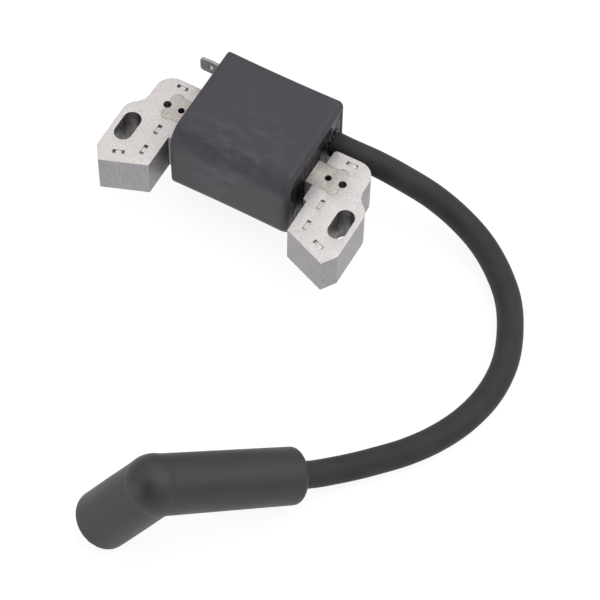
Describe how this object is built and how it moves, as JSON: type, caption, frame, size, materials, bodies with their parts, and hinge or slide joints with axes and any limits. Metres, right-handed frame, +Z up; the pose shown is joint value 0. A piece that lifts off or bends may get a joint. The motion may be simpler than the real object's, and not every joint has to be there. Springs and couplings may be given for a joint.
{
  "type": "ignition coil",
  "caption": "Small-engine ignition coil: two-legged laminated core with slotted mounting legs, potted coil block, stop terminal, and a high-tension lead ending in a turned rubber plug boot.",
  "frame": {"origin": "on the surface the coil stands on, under the middle of the coil's own box, leaving out its lead and boot", "axes": "+X along the core bar towards the end the lead leaves from, -Y towards the flywheel that the pole faces meet, +Z up through the stack of laminations"},
  "size_m": [0.1231, 0.1323, 0.0319],
  "materials": {
    "core_steel": "satin zinc-grey coated laminations with a fine speckle",
    "bar_steel": "satin coated laminations, a little darker than the legs",
    "case_plastic": "charcoal glass-filled nylon, soft sheen",
    "resin": "glossy black potting resin",
    "bobbin_plastic": "natural nylon",
    "copper_wire": "enamelled copper wire",
    "wrap_film": "amber polyester film",
    "board_laminate": "green glass-epoxy laminate",
    "component_body": "moulded epoxy",
    "resistor_body": "tan ceramic",
    "capacitor_body": "dipped orange epoxy",
    "tinned_steel": "dull tin plate",
    "brass_strip": "plain brass",
    "spring_wire": "drawn spring steel",
    "lead_jacket": "matt black rubber jacket",
    "boot_rubber": "matt charcoal moulded rubber"
  },
  "bodies": {
    "coil": {"left_core_leg": "core_steel", "right_core_leg": "core_steel", "core_bar": "bar_steel", "coil_case": "case_plastic", "potting_resin": "resin", "primary_bobbin": "bobbin_plastic", "primary_winding": "copper_wire", "winding_wrap": "wrap_film", "secondary_bobbin": "bobbin_plastic", "secondary_winding": "copper_wire", "primary_wires": "copper_wire", "circuit_board": "board_laminate", "power_transistor": "component_body", "driver_transistor": "component_body", "board_resistors": "resistor_body", "clamp_diode": "component_body", "board_capacitor": "capacitor_body", "trigger_bobbin": "bobbin_plastic", "trigger_winding": "copper_wire", "ground_strap": "brass_strip", "high_tension_pin": "brass_strip", "secondary_wire": "copper_wire", "lead_coil_end": "lead_jacket", "stop_terminal": "tinned_steel", "ht_lead": "lead_jacket", "lead_boot_end": "lead_jacket", "lead_strand": "copper_wire"},
    "boot": {"plug_boot": "boot_rubber", "plug_clip": "tinned_steel", "clip_spring": "spring_wire"}
  },
  "joints": [
    {"name": "boot_swivel", "type": "hinge", "parent": "coil", "child": "boot", "pos_m": [0.02907, -0.09752, 0.02406], "axis": [0.6023, 0.6772, -0.4226], "range_deg": [-90, 90]}
  ]
}
